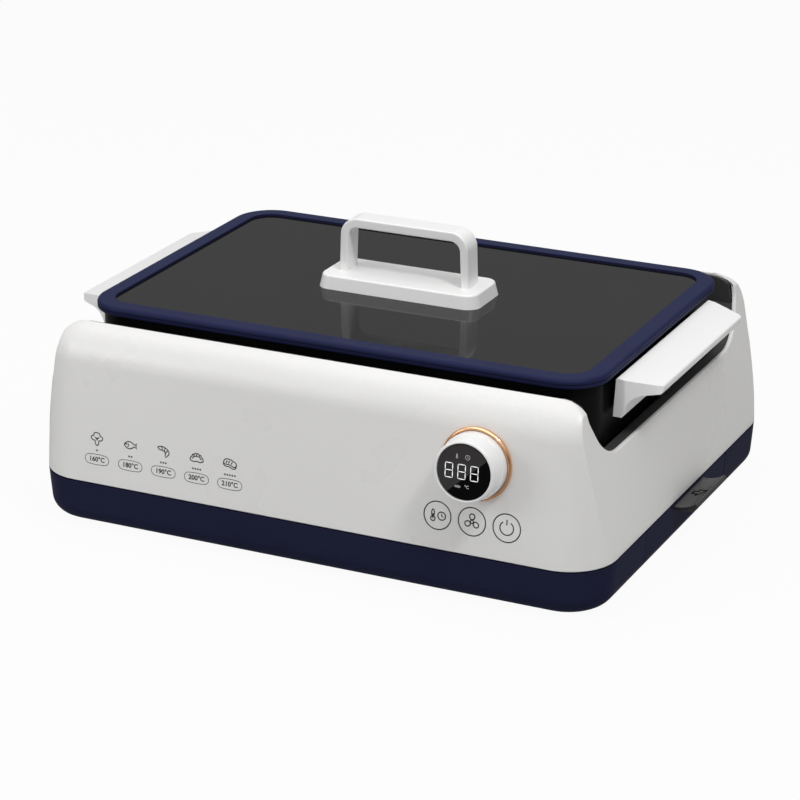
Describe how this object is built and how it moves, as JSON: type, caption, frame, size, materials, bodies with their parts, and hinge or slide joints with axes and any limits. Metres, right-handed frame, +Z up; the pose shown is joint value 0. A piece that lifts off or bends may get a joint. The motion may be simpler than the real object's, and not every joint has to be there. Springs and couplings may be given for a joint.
{
  "type": "electric indoor grill",
  "caption": "Countertop electric grill: two-tone casing with a dipped well, lift-out pan under a dark glass lid, display dial, drip drawer and smoke fan.",
  "frame": {"origin": "middle of the whole assembly's footprint, on the surface that it stands on", "axes": "+X along the casing towards the drip drawer, +Y towards the back with the mains inlet, +Z up"},
  "size_m": [0.445, 0.3496, 0.197],
  "materials": {
    "navy_plastic": "fine satin grain",
    "foot_rubber": "matt",
    "shell_white": "satin",
    "liner_black": "fine matt grain",
    "zinc_steel": "zinc plated",
    "pan_coating": "cast, black non-stick coating",
    "handle_white": "satin",
    "rim_navy": "satin",
    "dark_glass": "polished, dark tint",
    "seal_rubber": "matt",
    "tray_steel": "black enamel",
    "pull_black": "semi-gloss",
    "knob_white": "semi-gloss",
    "rose_gold": "turned and anodised rose gold",
    "display_black": "gloss",
    "component_black": "moulded",
    "board_green": "solder mask",
    "element_sheath": "heat darkened",
    "reflector_steel": "mill finish",
    "contact_brass": "bright"
  },
  "bodies": {
    "housing": {"base_tray": "navy_plastic", "rubber_feet": "foot_rubber", "upper_shell": "shell_white", "well_liner": "liner_black", "pan_rests": "liner_black", "casing_screws": "zinc_steel", "well_screws": "zinc_steel", "drawer_runners": "liner_black", "dial_trim_ring": "rose_gold", "dial_hub": "liner_black", "display_window": "display_black", "display_module": "component_black", "dial_encoder": "component_black", "control_board": "board_green", "control_board_screws": "zinc_steel", "touch_key_springs": "zinc_steel", "heating_element": "element_sheath", "heat_reflector": "reflector_steel", "reflector_screws": "zinc_steel", "reflector_spacers": "zinc_steel", "element_clips": "reflector_steel", "element_terminals": "zinc_steel", "drain_funnel": "reflector_steel", "thermal_cutout": "component_black", "sensor_guide": "reflector_steel", "sensor_spring": "zinc_steel", "fan_scroll": "liner_black", "fan_motor": "zinc_steel", "smoke_filter": "reflector_steel", "exhaust_grille": "liner_black", "mains_inlet": "component_black", "mains_inlet_pins": "contact_brass", "power_board": "board_green", "power_board_screws": "zinc_steel", "power_board_components": "component_black"},
    "pan": {"grill_pan": "pan_coating", "pan_handle_right": "handle_white", "pan_handle_left": "handle_white", "pan_handle_screws": "zinc_steel"},
    "lid": {"lid_rim": "rim_navy", "lid_glass": "dark_glass", "lid_gasket": "seal_rubber", "lid_handle_plate": "handle_white", "lid_handle_bail": "handle_white", "lid_handle_screws": "zinc_steel", "lid_handle_washers": "seal_rubber"},
    "drawer": {"drip_tray": "tray_steel", "drawer_front": "navy_plastic", "drawer_pull": "pull_black"},
    "dial": {"dial_knob": "knob_white"},
    "fan": {"fan_shaft": "zinc_steel", "fan_impeller": "component_black"},
    "sensor": {"temperature_sensor": "reflector_steel"}
  },
  "joints": [
    {"name": "pan_lift", "type": "slide", "parent": "housing", "child": "pan", "axis": [0, 0, 1], "range_m": [0, 0.12]},
    {"name": "lid_lift", "type": "slide", "parent": "pan", "child": "lid", "axis": [0, 0, 1], "range_m": [0, 0.12]},
    {"name": "drawer_slide", "type": "slide", "parent": "housing", "child": "drawer", "axis": [1, 0, 0], "range_m": [0, 0.25]},
    {"name": "dial_turn", "type": "hinge", "parent": "housing", "child": "dial", "pos_m": [0.11883, -0.15208, 0.09851], "axis": [0, -0.9969, 0.0785], "continuous": true},
    {"name": "fan_spin", "type": "hinge", "parent": "housing", "child": "fan", "pos_m": [-0.09517, 0.116, 0.045], "axis": [0, 0, 1], "continuous": true},
    {"name": "sensor_press", "type": "slide", "parent": "housing", "child": "sensor", "axis": [0, 0, 1], "range_m": [-0.0025, 0], "stiffness_N_per_m": 300, "springref_m": 0.003, "deforming": ["sensor_spring"]}
  ]
}
